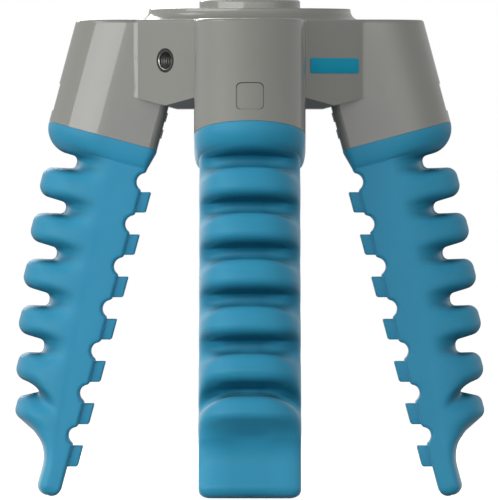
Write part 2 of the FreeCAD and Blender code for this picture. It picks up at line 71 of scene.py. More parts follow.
class Shade:
    """A socket of a node tree: sums on it add Math nodes, and node() adds a node of any other kind."""

    def __init__(self, tree, socket=None):
        self.tree = tree
        self.socket = socket

    def node(self, kind, settings, values, output=0):
        """A new node's output. A value is a plain one, a link, or a list of links into one socket."""
        made = self.tree.nodes.new(kind)
        for name, setting in settings.items():
            setattr(made, name, setting)
        for name, value in values.items():
            if isinstance(value, Shade):
                self.tree.links.new(value.socket, made.inputs[name])
            elif isinstance(value, list):
                for link in value:
                    self.tree.links.new(link.socket, made.inputs[name])
            else:
                made.inputs[name].default_value = value
        return Shade(self.tree, made.outputs[output])

    def into(self, kind, name):
        """Ends the tree: this socket goes into a new output node."""
        self.tree.links.new(self.socket, self.tree.nodes.new(kind).inputs[name])

    def maths(self, operation, first, second):
        return self.node("ShaderNodeMath", {"operation": operation}, {0: first, 1: second})

    def __add__(self, other):
        return self.maths("ADD", self, other)

    def __radd__(self, other):
        return self.maths("ADD", other, self)

    def __sub__(self, other):
        return self.maths("SUBTRACT", self, other)

    def __rsub__(self, other):
        return self.maths("SUBTRACT", other, self)

    def __mul__(self, other):
        return self.maths("MULTIPLY", self, other)

    def __rmul__(self, other):
        return self.maths("MULTIPLY", other, self)

    def __pow__(self, power):
        return self.maths("POWER", self, power)

    def noise(self, size, detail):
        """Clouds about size millimetres across, fixed to the piece."""
        place = self.node("ShaderNodeTexCoord", {}, {}, "Object")
        return self.node("ShaderNodeTexNoise", {}, {
            "Vector": place, "Scale": 1 / (size * MM), "Detail": detail
        })

    def attribute(self, name):
        """A value that the mesh holds at its points."""
        return self.node("ShaderNodeAttribute", {"attribute_name": name}, {}, "Fac")

    def between(self, share, first, second):
        """A colour between two others."""
        first, second = (colour if isinstance(colour, Shade) else (*colour, 1) for colour in (first, second))
        return self.node("ShaderNodeMix", {"data_type": "RGBA"}, {0: share, 6: first, 7: second}, 2)

    def relief(self, height, depth):
        """Bumps up to depth millimetres high."""
        return self.node("ShaderNodeBump", {}, {"Height": height, "Distance": depth * MM, "Strength": 1.0})


def finish(name, build):
    """A material whose surface is the shader that build(shade) returns."""
    material = bpy.data.materials.new(name)
    material.use_nodes = True
    material.node_tree.nodes.clear()
    build(Shade(material.node_tree)).into("ShaderNodeOutputMaterial", "Surface")
    return material


def body_plastic(shade):
    grain = shade.noise(POWDER_GRAIN, detail=2.0)
    cloud = shade.noise(DYE_CLOUD, detail=3.0)
    return shade.node("ShaderNodeBsdfPrincipled", {}, {
        "Base Color": shade.between(0.6 * cloud + 0.4 * grain, DARK_GREY, LIGHT_GREY),
        "Roughness": 0.46 + 0.12 * (grain - 0.5),
        "Normal": shade.relief(grain, POWDER_DEPTH),
        "Coat Weight": 1.0,
        "Coat Roughness": 0.06,
    })


def wear(node, material):
    """Puts a material on a CAD node."""
    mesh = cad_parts[node].data
    mesh.materials.clear()
    mesh.materials.append(material)


grey_plastic = finish("grey_plastic", body_plastic)
wear("gripper_body", grey_plastic)


# Threaded inserts: turned bushes with chamfered ends and a cut thread, pressed into the plastic. Four
# of brass in the flange face take the robot's bolts, and one of blackened steel takes the air fitting.
BOLT_COUNT, BOLT_CIRCLE_RADIUS, BOLT_TURN = 4, 20.0, math.radians(45)
PORT_TURN, PORT_FRONT, PORT_DEPTH = -45, 29.6, 12.9
BUSH_SIDES, BUSH_SHARP_EDGE = 64, 35
LIP_FLAT, LIP_STEPS, THREAD_STEPS = 0.05, 8, 12
# The thread's shine lowers its roughness. On the steel bush it also lightens the shaded bore as painted
# light.
THREAD_CREST, THREAD_FLANK, THREAD_SHINE_AND_PAINTED_LIGHT = 0.12, 0.7, 0.25
DARK_BRASS, LIGHT_BRASS = (0.56, 0.41, 0.18), (0.70, 0.53, 0.26)
DARK_STEEL, LIGHT_STEEL, BARE_STEEL = (0.030, 0.030, 0.028), (0.055, 0.054, 0.050), (0.50, 0.49, 0.47)
BRASS_LATHE_MARKS, STEEL_LATHE_MARKS = 0.6, 0.5


def between_rings(rings, sides, closed):
    """Quads that join rings of points, each to the next one, and the last to the first if it is closed."""
    quads = []
    for number in range(rings if closed else rings - 1):
        here = number * sides
        below = (number + 1) % rings * sides
        for side in range(sides):
            beside = (side + 1) % sides
            quads.append((here + side, below + side, below + beside, here + beside))
    return quads


def threaded_bush(name, outer, bore, length, rim, mouth, pitch, tooth):
    """A bush that stands upright, its open end at the origin; its polish attribute is 1 on the polished lip
    and a quarter on the thread, where on the steel bush it is painted light that lightens the shaded bore.
    """
    outside = [(outer, length), (outer, rim), (outer - rim, 0), (bore + mouth + LIP_FLAT, 0)]
    rings = [(radius, depth, 0, 0) for radius, depth in outside]
    for number, angle in enumerate(np.linspace(0, math.pi / 2, LIP_STEPS)):
        shine = min(1, number)
        rings.append((bore + mouth * (1 - math.sin(angle)), mouth * (1 - math.cos(angle)), 0, shine))
    for depth in np.arange(1.1 * mouth, length - LIP_FLAT, pitch / THREAD_STEPS):
        rings.append((bore, depth, 1, THREAD_SHINE_AND_PAINTED_LIGHT))
    rings.append((bore, length, 1, THREAD_SHINE_AND_PAINTED_LIGHT))
    points = []
    polish = []
    for radius, depth, cut, shine in rings:
        run_out = min(1, max(0, (depth - mouth) / pitch), (length - depth) / pitch)
        for turn in np.arange(BUSH_SIDES) / BUSH_SIDES:
            wave = 1 - abs(2 * ((depth / pitch + turn) % 1) - 1)
            flank = min(1, max(0, (wave - THREAD_CREST) / THREAD_FLANK))
            wide = radius + cut * run_out * tooth * flank
            angle = 2 * math.pi * turn
            points.append((wide * math.cos(angle) * MM, wide * math.sin(angle) * MM, -depth * MM))
            polish.append(shine)
    quads = between_rings(len(rings), BUSH_SIDES, closed=True)
    mesh = bpy.data.meshes.new(name)
    mesh.from_pydata(points, [], [quad[::-1] for quad in quads])
    mesh.attributes.new("polish", "FLOAT", "POINT").data.foreach_set("value", polish)
    return mesh


def turned_brass(shade):
    lathe = shade.noise(BRASS_LATHE_MARKS, detail=4.0)
    return shade.node("ShaderNodeBsdfPrincipled", {}, {
        "Base Color": shade.between(lathe, DARK_BRASS, LIGHT_BRASS),
        "Metallic": 1.0,
        "Roughness": 0.36 + 0.15 * lathe - 0.14 * shade.attribute("polish"),
    })


def port_steel(shade):
    lathe = shade.noise(STEEL_LATHE_MARKS, detail=4.0)
    # The lip is polished bare steel. The quarter polish on the thread is painted light that lightens the
    # shaded bore.
    polish = shade.attribute("polish")
    black = shade.between(lathe, DARK_STEEL, LIGHT_STEEL)
    return shade.node("ShaderNodeBsdfPrincipled", {}, {
        "Base Color": shade.between(polish, black, BARE_STEEL),
        "Metallic": 0.6 + 0.4 * polish,
        "Roughness": 0.42 - 0.22 * polish + 0.08 * lathe,
    })


def piece_tree(name, inputs):
    """A Geometry Nodes tree with these named inputs beside its geometry, and links from them by name."""
    tree = bpy.data.node_groups.new(name, "GeometryNodeTree")
    inputs = {"Geometry": "Geometry", **inputs}
    for label, kind in inputs.items():
        tree.interface.new_socket(label, in_out="INPUT", socket_type="NodeSocket" + kind)
    tree.interface.new_socket("Geometry", in_out="OUTPUT", socket_type="NodeSocketGeometry")
    group_input = tree.nodes.new("NodeGroupInput")
    return tree, {label: Shade(tree, group_input.outputs[label]) for label in inputs}


def end_tree(geometry, material):
    """Ends a Geometry Nodes tree with real copies in one material."""
    real = geometry.node("GeometryNodeRealizeInstances", {}, {"Geometry": geometry})
    coloured = real.node("GeometryNodeSetMaterial", {}, {"Geometry": real, "Material": material})
    coloured.into("NodeGroupOutput", "Geometry")


def mesh_by_tree(mesh, tree, values):
    """The plain mesh that a tree makes of a mesh, with these values for its named inputs."""
    carrier = bpy.data.objects.new(tree.name, mesh)
    bpy.context.scene.collection.objects.link(carrier)
    modifier = carrier.modifiers.new(tree.name, "NODES")
    modifier.node_group = tree
    for socket in tree.interface.items_tree:
        if socket.name in values:
            modifier[socket.identifier] = values[socket.name]
    evaluated = carrier.evaluated_get(bpy.context.evaluated_depsgraph_get())
    made = bpy.data.meshes.new_from_object(evaluated)
    bpy.data.objects.remove(carrier)
    return made


def settle(name, mesh, sharp_edge):
    """An object with this mesh, shaded smooth but for edges sharper than so many degrees."""
    for polygon in mesh.polygons:
        polygon.use_smooth = True
    mesh.set_sharp_from_angle(angle=math.radians(sharp_edge))
    settled = bpy.data.objects.new(name, mesh)
    bpy.context.scene.collection.objects.link(settled)
    return settled


def on_wall(turn, front, depth):
    """Takes what faces up to the wall that is turned so far from the front: front is how far it stands
    from the gripper's axis and depth how far it is below the flange face."""
    place = Matrix.Translation((0, -front * MM, -depth * MM)) @ Matrix.Rotation(math.radians(90), 4, "X")
    return Matrix.Rotation(math.radians(turn), 4, "Z") @ place


bush_form = threaded_bush(
    "bush_form", outer=4.0, bore=2.5, length=9.0, rim=0.25, mouth=0.5, pitch=1.0, tooth=0.45
)
bolt_tree, given = piece_tree("inserts_on_bolt_circle", {
    "Count": "Int", "Radius": "Float", "Turn": "Vector"
})
bolts = Shade(bolt_tree)
circle = bolts.node("GeometryNodeMeshCircle", {}, {"Vertices": given["Count"], "Radius": given["Radius"]})
turned = bolts.node("GeometryNodeTransform", {}, {"Geometry": circle, "Rotation": given["Turn"]})
bushes = bolts.node("GeometryNodeInstanceOnPoints", {}, {"Points": turned, "Instance": given["Geometry"]})
end_tree(bushes, finish("turned_brass", turned_brass))
bolt_mesh = mesh_by_tree(bush_form, bolt_tree, {
    "Count": BOLT_COUNT, "Radius": BOLT_CIRCLE_RADIUS * MM, "Turn": (0, 0, BOLT_TURN)
})
bolt_bushes = settle("bolt_bushes", bolt_mesh, BUSH_SHARP_EDGE)
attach(bolt_bushes, "hub")
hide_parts("flange_inserts")

port_mesh = threaded_bush(
    "port_bush", outer=3.0, bore=2.1, length=7.0, rim=0.15, mouth=0.24, pitch=0.8, tooth=0.36
)
port_mesh.transform(on_wall(PORT_TURN, PORT_FRONT, PORT_DEPTH))
port_mesh.materials.append(finish("port_steel", port_steel))
port_bush = settle("port_bush", port_mesh, BUSH_SHARP_EDGE)
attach(port_bush, "hub")
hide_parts("air_port_insert")


# Label plate: a thin plain plate of blue plastic with rounded corners, stuck in a shallow pocket of the
# front right wall.
LABEL_LENGTH, LABEL_HEIGHT, LABEL_THICKNESS = 16.9, 3.8, 0.4
LABEL_CORNER, LABEL_EDGE, LABEL_SHARP_EDGE = 0.7, 0.1, 35
LABEL_TURN, LABEL_FRONT, LABEL_DEPTH = 45, 29.8, 14.2
DARK_LABEL, LIGHT_LABEL, LABEL_CLOUD = (0.0, 0.350, 0.550), (0.004, 0.385, 0.600), 4.0


def label_blue(shade):
    cloud = shade.noise(LABEL_CLOUD, detail=2.0)
    return shade.node("ShaderNodeBsdfPrincipled", {}, {
        "Base Color": shade.between(cloud, DARK_LABEL, LIGHT_LABEL),
        "Roughness": 0.36 + 0.06 * cloud,
        "Specular IOR Level": 0.2,
    })


plate = bmesh.new()
outline = []
for right, top, first in ((1, 1, 0), (-1, 1, 90), (-1, -1, 180), (1, -1, 270)):
    for angle in np.radians(np.linspace(first, first + 90, 9)):
        along = right * (LABEL_LENGTH / 2 - LABEL_CORNER) + LABEL_CORNER * math.cos(angle)
        rise = top * (LABEL_HEIGHT / 2 - LABEL_CORNER) + LABEL_CORNER * math.sin(angle)
        outline.append(plate.verts.new((along * MM, rise * MM, 0)))
front_face = plate.faces.new(outline)
pulled = bmesh.ops.extrude_face_region(plate, geom=[front_face])["geom"]
back_corners = [item for item in pulled if isinstance(item, bmesh.types.BMVert)]
bmesh.ops.translate(plate, verts=back_corners, vec=(0, 0, -LABEL_THICKNESS * MM))
rim_edges = [edge for edge in plate.edges if min(end.co.z for end in edge.verts) > -LABEL_EDGE * MM]
bmesh.ops.bevel(plate, geom=rim_edges, offset=LABEL_EDGE * MM, segments=3, profile=0.5, affect="EDGES")
bmesh.ops.recalc_face_normals(plate, faces=plate.faces)
plate_mesh = bpy.data.meshes.new("label")
plate.to_mesh(plate_mesh)
plate.free()
plate_mesh.transform(on_wall(LABEL_TURN, LABEL_FRONT, LABEL_DEPTH))
plate_mesh.materials.append(finish("label_blue", label_blue))
label = settle("label", plate_mesh, LABEL_SHARP_EDGE)
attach(label, "hub")
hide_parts("label_plate")


# Finger plugs and their seal rings: each plug is a black moulding that holds its finger by a barbed
# end, and a rubber ring seals it in its socket. They sit inside the holders, out of sight.
FINGER_ORDER = ("right", "back", "left", "front")
DARK_PLUG, LIGHT_PLUG, PLUG_GRAIN = (0.035, 0.036, 0.038), (0.055, 0.056, 0.06), 0.4
DARK_SEAL, LIGHT_SEAL, SEAL_BLOOM = (0.012, 0.012, 0.012), (0.022, 0.022, 0.023), 3.0


def plug_plastic(shade):
    grain = shade.noise(PLUG_GRAIN, detail=2.0)
    return shade.node("ShaderNodeBsdfPrincipled", {}, {
        "Base Color": shade.between(grain, DARK_PLUG, LIGHT_PLUG),
        "Roughness": 0.42 + 0.1 * grain,
    })


def seal_rubber(shade):
    bloom = shade.noise(SEAL_BLOOM, detail=3.0)
    return shade.node("ShaderNodeBsdfPrincipled", {}, {
        "Base Color": shade.between(bloom, DARK_SEAL, LIGHT_SEAL),
        "Roughness": 0.5 + 0.15 * bloom,
    })


black_plastic = finish("black_plastic", plug_plastic)
black_rubber = finish("black_rubber", seal_rubber)
for side in FINGER_ORDER:
    wear("finger_plug_" + side, black_plastic)
    wear("plug_seal_" + side, black_rubber)


# Soft fingers: each is one hollow moulding of blue silicone, with a collar under its holder, lobes
# outside that swell under air pressure, grip pads inside and a flat tip. Sizes are in millimetres in
# the finger's own frame: reach runs down along it, out away from the gripper's axis, across its width.
FINGER_TILT = math.radians(15.0)
FINGER_TOP, TIP, ROWS = 39.82, 129.4, 760
HOLDER_OUT, HOLDER_IN, HOLDER_HALF_WIDTH = 40.9, 13.2, 13.75
TOP_EDGE = 0.12
TOP_EDGE_ROUND = 0.9 * TOP_EDGE
COLLAR_BOTTOM, COLLAR_FOOT, COLLAR_ROUND, COLLAR_SIDE = 46.4, 1.5, 6.5, 5.1
INNER_FACE, HALF_WIDTH, INNER_EDGE = 14.4, 12.4, 0.9
COLLAR_INNER_RUN, COLLAR_INNER_ROUND, COLLAR_INNER_EDGE = 0.8, 3.0, 2.0
VALLEY_OUT, VALLEY_ROUND = 31.65, 1.4
VALLEY_BEND, VALLEY_BEND_ROUND, VALLEY_SLOPE = 75.2, 290.0, 0.2
CREST_OUT, CREST_START, CREST_BEND_ROUND = 39.25, 45.3, 238.0
BLADE_START, BLADE_START_ROUND, BLADE_BEND, BLADE_BEND_ROUND, BLADE_OUT = 115.6, 5.0, 119.5, 10.0, 20.4
TIP_ROUND, TIP_CORNER, TIP_FLARE, TIP_RUN, TIP_END_FLAT = 2.4, 2.5, 0.2, 6.0, 0.1

# A lobe's length is taken at its middle radius. Its slopes, in degrees, and its rounds are those of its
# upper and lower side. The lobe before the last one leans, and the groove between them is deeper.
LOBE_COUNT, LOBE_START, LOBE_PITCH, LOBE_LENGTH = 5, 50.2, 11.45, 7.85
LOBE_RADIUS, LOBE_MIDDLE_RADIUS, LOBE_HALF_WIDTH, LOBE_SQUARENESS = 12.55, 8.7, 12.5, 2.5
LOBE_SLOPES, LEANING_LOBE_SLOPES, LOBE_ROUNDS = (13.0, 2.0), (13.0, 12.0), (2.6, 3.0)
LAST_LOBE_START, LAST_LOBE_LENGTH, LAST_LOBE_MIDDLE_RADIUS = 105.9, 7.4, 10.0
LAST_LOBE_SLOPES, LAST_LOBE_ROUNDS = (34.0, 27.0), (2.0, 2.4)
LAST_GROOVE_DEPTH, LAST_GROOVE_ROUND, LAST_GROOVE_ARCH = 1.6, 0.7, 4.2


def stepped(places, steps):
    """Values at these places, on straight lines between steps of (place, value)."""
    return np.interp(places, *np.array(steps).T)


def unit(vector):
    return vector / np.linalg.norm(vector)


def rounded_line(corners):
    """Points on a line of (reach, out, radius) corners, with an arc round each inner corner."""
    points = [np.array(corners[0][:2])]
    for before, corner, after in zip(corners, corners[1:], corners[2:]):
        place = np.array(corner[:2])
        back = unit(np.array(before[:2]) - place)
        ahead = unit(np.array(after[:2]) - place)
        half_angle = math.acos(np.clip(back @ ahead, -1, 1)) / 2
        centre = place + unit(back + ahead) * corner[2] / math.sin(half_angle)
        start = place + back * corner[2] / math.tan(half_angle) - centre
        end = place + ahead * corner[2] / math.tan(half_angle) - centre
        sweep = math.pi - 2 * half_angle
        for share in np.linspace(0, 1, 24):
            arm = math.sin((1 - share) * sweep) * start + math.sin(share * sweep) * end
            points.append(centre + arm / math.sin(sweep))
    points.append(np.array(corners[-1][:2]))
    return np.array(points)


def evenly(points, count):
    """The same line at count points, equally far apart along it."""
    steps = np.linalg.norm(np.diff(points, axis=0), axis=1)
    travel = np.concatenate([[0], np.cumsum(steps)])
    places = np.linspace(0, travel[-1], count)
    return np.interp(places, travel, points[:, 0]), np.interp(places, travel, points[:, 1])


def crest_out(reach):
    """How far out the crests of the lobes reach."""
    return CREST_OUT - (reach - CREST_START) ** 2 / (2 * CREST_BEND_ROUND)


base_line = rounded_line([
    (FINGER_TOP, VALLEY_OUT),
    (VALLEY_BEND, VALLEY_OUT, VALLEY_BEND_ROUND),
    (BLADE_START, VALLEY_OUT - VALLEY_SLOPE * (BLADE_START - VALLEY_BEND), BLADE_START_ROUND),
    (BLADE_BEND, BLADE_OUT, BLADE_BEND_ROUND),
    (TIP, BLADE_OUT),
])


def base_out(reach):
    """How far out the finger reaches without its lobes."""
    return stepped(reach, base_line)


def lobe_corners(start, length, middle_radius, slopes, rounds):
    """The side view of a lobe, from its upper valley over the crest to its lower valley."""
    upper, lower = (math.tan(math.radians(slope)) for slope in slopes)
    crest = crest_out(start + length / 2)
    middle_out = crest - LOBE_RADIUS + middle_radius
    above = base_out(start) - middle_out
    below = base_out(start + length) - middle_out
    top = LOBE_RADIUS - middle_radius
    return [
        (start + above * upper, base_out(start), VALLEY_ROUND),
        (start + top * upper, crest, rounds[0]),
        (start + length - top * lower, crest, rounds[1]),
        (start + length - below * lower, base_out(start + length), VALLEY_ROUND),
    ]


outer_corners = [
    (FINGER_TOP, HOLDER_OUT - TOP_EDGE),
    (FINGER_TOP, HOLDER_OUT, TOP_EDGE_ROUND),
    (COLLAR_BOTTOM, HOLDER_OUT, COLLAR_ROUND),
    (COLLAR_BOTTOM, VALLEY_OUT, VALLEY_ROUND),
]
lobe_starts = [LOBE_START + number * LOBE_PITCH for number in range(LOBE_COUNT)]
for start in lobe_starts:
    slopes = LEANING_LOBE_SLOPES if start == lobe_starts[-1] else LOBE_SLOPES
    outer_corners += lobe_corners(start, LOBE_LENGTH, LOBE_MIDDLE_RADIUS, slopes, LOBE_ROUNDS)
last_corners = lobe_corners(
    LAST_LOBE_START, LAST_LOBE_LENGTH, LAST_LOBE_MIDDLE_RADIUS, LAST_LOBE_SLOPES, LAST_LOBE_ROUNDS
)
groove_reach = (outer_corners[-1][0] + last_corners[0][0]) / 2
outer_corners[-1] = (groove_reach, base_out(groove_reach) - LAST_GROOVE_DEPTH, LAST_GROOVE_ROUND)
outer_corners += last_corners[1:3]
outer_corners += [
    (BLADE_START, base_out(BLADE_START), BLADE_START_ROUND),
    (BLADE_BEND, BLADE_OUT, BLADE_BEND_ROUND),
    (TIP, BLADE_OUT, TIP_ROUND),
    (TIP, BLADE_OUT - TIP_ROUND - TIP_END_FLAT),
]
reach_out, out = evenly(rounded_line(outer_corners), ROWS)


def collar_share(reach):
    """1 at the top of the collar and 0 below it, along a quarter of an oval."""
    return np.sqrt(1 - np.clip((reach - FINGER_TOP) / COLLAR_SIDE, 0, 1) ** 2)


def half_width(reach):
    """Half the finger's width: wider in the collar, and rounded off at the tip's corners."""
    width = HALF_WIDTH + (HOLDER_HALF_WIDTH - HALF_WIDTH) * collar_share(reach)
    width = width + TIP_FLARE * np.clip((reach - VALLEY_BEND) / (BLADE_START - VALLEY_BEND), 0, 1)
    into_edge = np.clip(1 - (reach - FINGER_TOP) / TOP_EDGE, 0, 1)
    into_corner = np.clip((reach - TIP + TIP_CORNER) / TIP_CORNER, 0, 1)
    width = width - TOP_EDGE * (1 - np.sqrt(1 - into_edge ** 2))
    return width - TIP_CORNER * (1 - np.sqrt(1 - into_corner ** 2))


# The inner face is flat, with a round notch over each grip pad and a slope down from the collar.
PAD_COUNT, PAD_START, PAD_PITCH, PAD_LENGTH = 7, 50.9, 10.855, 5.25
PAD_HEIGHT, PAD_HALF_WIDTH, PAD_ROOT, PAD_EDGE = 2.5, 11.3, 0.7, 0.4
NOTCH_RADIUS, NOTCH_DEPTH, NOTCH_ABOVE_PAD, NOTCH_RIM = 2.25, 1.75, 2.7, 0.9
SLOPE_ABOVE_NOTCH, SLOPE_STEP = 1.2, 0.1


def notch_points(reach):
    """A round notch in the inner face, with its rims rounded over."""
    bottom = INNER_FACE + NOTCH_DEPTH - NOTCH_RADIUS
    rise = INNER_FACE + NOTCH_RIM - bottom
    aside = math.sqrt((NOTCH_RADIUS + NOTCH_RIM) ** 2 - rise ** 2)
    lean = math.atan2(rise, aside)
    points = []

    def arc(along, inward, size, first, last, count):
        for angle in np.linspace(first, last, count):
            points.append((along + size * math.cos(angle), inward + size * math.sin(angle)))

    arc(reach - aside, INNER_FACE + NOTCH_RIM, NOTCH_RIM, -math.pi / 2, -lean, 8)
    arc(reach, bottom, NOTCH_RADIUS, math.pi - lean, lean, 20)
    arc(reach + aside, INNER_FACE + NOTCH_RIM, NOTCH_RIM, math.pi + lean, 1.5 * math.pi, 8)
    return points


first_notch = PAD_START - NOTCH_ABOVE_PAD
inner_top = rounded_line([
    (FINGER_TOP, HOLDER_IN + TOP_EDGE),
    (FINGER_TOP, HOLDER_IN, TOP_EDGE_ROUND),
    (FINGER_TOP + COLLAR_INNER_RUN, HOLDER_IN, COLLAR_INNER_ROUND),
    (first_notch - NOTCH_RADIUS - SLOPE_ABOVE_NOTCH, INNER_FACE - SLOPE_STEP),
])
notches = [notch_points(first_notch + number * PAD_PITCH) for number in range(PAD_COUNT)]
inner_tip = rounded_line([
    (TIP - TIP_RUN, INNER_FACE),
    (TIP, INNER_FACE, TIP_ROUND),
    (TIP, INNER_FACE + TIP_ROUND + TIP_END_FLAT),
])
reach_in, inner = evenly(np.concatenate([inner_top, *notches, inner_tip]), ROWS)

# The outer half of each section is a squarish oval in the valleys, a fuller one on the lobes, and in the
# collar a round arch on straight sides, as in the holder. Angles run from the outer side to the flank.
VALLEY_SQUARENESS = ((70.0, 2.15), (112.0, 2.4), (119.0, 3.4))
degrees = np.concatenate([np.linspace(0, 36, 9), np.linspace(40, 90, 21)])
angles = np.radians(degrees)
cos = np.cos(angles)[None, :]
sin = np.sin(angles)[None, :]
base = base_out(reach_out)
middle = (base + INNER_FACE) / 2
width = half_width(reach_out)[:, None]
in_collar = reach_out < COLLAR_BOTTOM + COLLAR_FOOT
full = np.where(in_collar, HOLDER_OUT, crest_out(reach_out))


def oval(height, half_wide, power):
    """How far from the middle a squarish oval lies, at each angle."""
    return ((cos / height) ** power + (sin / half_wide) ** power) ** (-1 / power)


squareness = stepped(reach_out, VALLEY_SQUARENESS)[:, None]
valley_oval = oval((np.minimum(base, out) - middle)[:, None], width, squareness)
lobe_oval = oval((full - middle)[:, None], width + LOBE_HALF_WIDTH - HALF_WIDTH, LOBE_SQUARENESS)
lift = (HOLDER_OUT - HOLDER_HALF_WIDTH - middle)[:, None]
stretch = cos ** 2 + (sin * HOLDER_HALF_WIDTH / width) ** 2
inside = (lift * cos) ** 2 - stretch * (lift ** 2 - HOLDER_HALF_WIDTH ** 2)
arch = (lift * cos + np.sqrt(inside)) / stretch
collar_arch = np.where(arch * cos > lift, arch, width / np.maximum(sin, 1e-6))

# Each row swells from the valley's oval by 0 to 1. The grooves are crisp on the outer side and blurred
# towards the flanks, and the last one arches down on its way round.
GROOVE_BLUR, BLUR_STEP, BLUR_FROM, BLUR_OVER = 1.2, 0.05, 28, 34
ARCH_FROM, ARCH_OVER, ARCH_POWER = 20, 65, 2.5
ARCH_ALONG = ((-8, 0), (-2, 1), (1, 1), (6, 0.35))
fine_reach = np.arange(FINGER_TOP, TIP, BLUR_STEP)
crisp = np.interp(fine_reach, reach_out, np.clip(out - base, 0, None) / (full - base))
bell = np.exp(-0.5 * (np.arange(-3 * GROOVE_BLUR, 3 * GROOVE_BLUR, BLUR_STEP) / GROOVE_BLUR) ** 2)
padded = np.pad(crisp, len(bell), mode="edge")
blurred = np.convolve(padded, bell / bell.sum(), mode="same")[len(bell):-len(bell)]
arch_along = stepped(reach_out - LAST_LOBE_START, ARCH_ALONG)[:, None]
arch_around = np.clip((degrees - ARCH_FROM) / ARCH_OVER, 0, 1)[None, :] ** ARCH_POWER
arched_reach = reach_out[:, None] - LAST_GROOVE_ARCH * arch_along * arch_around
crisp_swell = np.interp(arched_reach, fine_reach, crisp)
blurred_swell = np.interp(arched_reach, fine_reach, blurred)
aside = np.clip((degrees - BLUR_FROM) / BLUR_OVER, 0, 1)[None, :]
aside = aside * aside * (3 - 2 * aside)
swell = crisp_swell + (blurred_swell - crisp_swell) * aside
radius = valley_oval + swell * (np.where(in_collar[:, None], collar_arch, lobe_oval) - valley_oval)
columns = []
for angle, distance in zip(angles, radius.T):
    columns.append((reach_out, middle + distance * math.cos(angle), distance * math.sin(angle)))

# The flanks are flat, and the long inner edges are rounded over, also along the notches.
along = np.gradient(reach_in)
down = np.gradient(inner)
in_top_edge = reach_in < FINGER_TOP + 2 * TOP_EDGE
normal_reach = np.where(in_top_edge, 0, -down / np.hypot(along, down))
normal_out = np.where(in_top_edge, 1, along / np.hypot(along, down))
edge = INNER_EDGE + (COLLAR_INNER_EDGE - INNER_EDGE) * collar_share(reach_in)
edge_reach = reach_in + normal_reach * edge
edge_out = inner + normal_out * edge
for share in np.linspace(0, 1, 7)[1:]:
    reach = reach_out + (edge_reach - reach_out) * share
    columns.append((reach, middle + (edge_out - middle) * share, half_width(reach)))
for angle in np.radians([72, 54, 36, 18, 0]):
    sunk = edge * (1 - math.cos(angle))
    reach = reach_in + normal_reach * sunk
    columns.append((reach, inner + normal_out * sunk, half_width(reach) - edge * (1 - math.sin(angle))))
for share in (0.66, 0.33, 0.0):
    columns.append((reach_in, inner, (half_width(reach_in) - edge) * share))
half = np.array(columns).transpose(2, 0, 1)
other_half = half[:, -2:0:-1] * np.array([1, 1, -1])
section = np.concatenate([half, other_half], axis=1)
sides = section.shape[1]

skin_points = [(x * MM, y * MM, -reach * MM) for reach, x, y in section.reshape(-1, 3)]
top_pole = len(skin_points)
tip_pole = top_pole + 1
skin_points.append(((HOLDER_OUT + HOLDER_IN) / 2 * MM, 0, -FINGER_TOP * MM))
skin_points.append(((BLADE_OUT + INNER_FACE) / 2 * MM, 0, -TIP * MM))
skin_faces = between_rings(ROWS, sides, closed=False)
last_ring = (ROWS - 1) * sides
for side in range(sides):
    beside = (side + 1) % sides
    skin_faces.append((top_pole, side, beside))
    skin_faces.append((tip_pole, last_ring + beside, last_ring + side))
skin = bpy.data.meshes.new("finger_skin")
skin.from_pydata(skin_points, [], skin_faces)

# Three attributes for its colour, all painted light or shade: one is 1 on the outer side and 0 on the
# flanks, which are painted paler as painted light; one is painted shade in the grooves, deepest right under
# a lobe;
# and one is where less of the painted pale rim sheen shows, in the grooves and along the middle of the outer
# side.
COLLAR_SHADE_DROP = 0.1
SKEW_AROUND = ((38, 0), (70, 0.8), (85, 1))
lower_ends = [COLLAR_BOTTOM + COLLAR_SHADE_DROP] + [start + LOBE_LENGTH for start in lobe_starts]
upper_ends = [*lobe_starts, LAST_LOBE_START]


def along_finger(steps, skew=0.0):
    """Values in each groove, at steps of (0 from the lobe over it or 1 from the lobe under it, reach
    beyond that end, value). They move up by the skew on the way round to the flanks."""
    places = []
    for ends in zip(lower_ends, upper_ends):
        places += [(ends[which] + beyond, value) for which, beyond, value in steps]
    return stepped(arched_reach + skew * stepped(degrees, SKEW_AROUND)[None, :], places)


def around_finger(*steps):
    """Values at steps of (angle from the outer side in degrees, value)."""
    return stepped(degrees, steps)[None, :]


# Painted shade in the grooves: darkest right under each lobe, fainter over the next one and round the
# flanks.
front_painted_shade = along_finger([
    (0, -1.6, 0), (0, -0.3, 0.6), (0, 0.6, 0.72), (0, 1.5, 0.56), (1, -0.3, 0.5), (1, 0.9, 0)
])
painted_shade_under_lobe = along_finger([
    (0, -2.8, 0), (0, -1.8, 0.25), (0, -1.1, 0.75), (0, -0.6, 1), (0, 0, 1), (0, 0.6, 0.5), (0, 1.8, 0)
], skew=0.8)
painted_shade_over_lobe = along_finger([
    (1, -2.2, 0), (1, -1.2, 0.45), (1, -0.5, 0.8), (1, 0, 1), (1, 0.5, 0.75), (1, 1.0, 0.45), (1, 2.0, 0)
], skew=2.3)
front_shade_around = around_finger((22, 1), (36, 0.6), (50, 0))
under_shade_around = around_finger((20, 0), (34, 0.2), (44, 0.52), (54, 0.66), (65, 0.56), (74, 0.34), (86, 0))
over_shade_around = around_finger((10, 0), (25, 0.35), (40, 0.7), (52, 0.75), (66, 0.6), (75, 0.3), (86, 0))
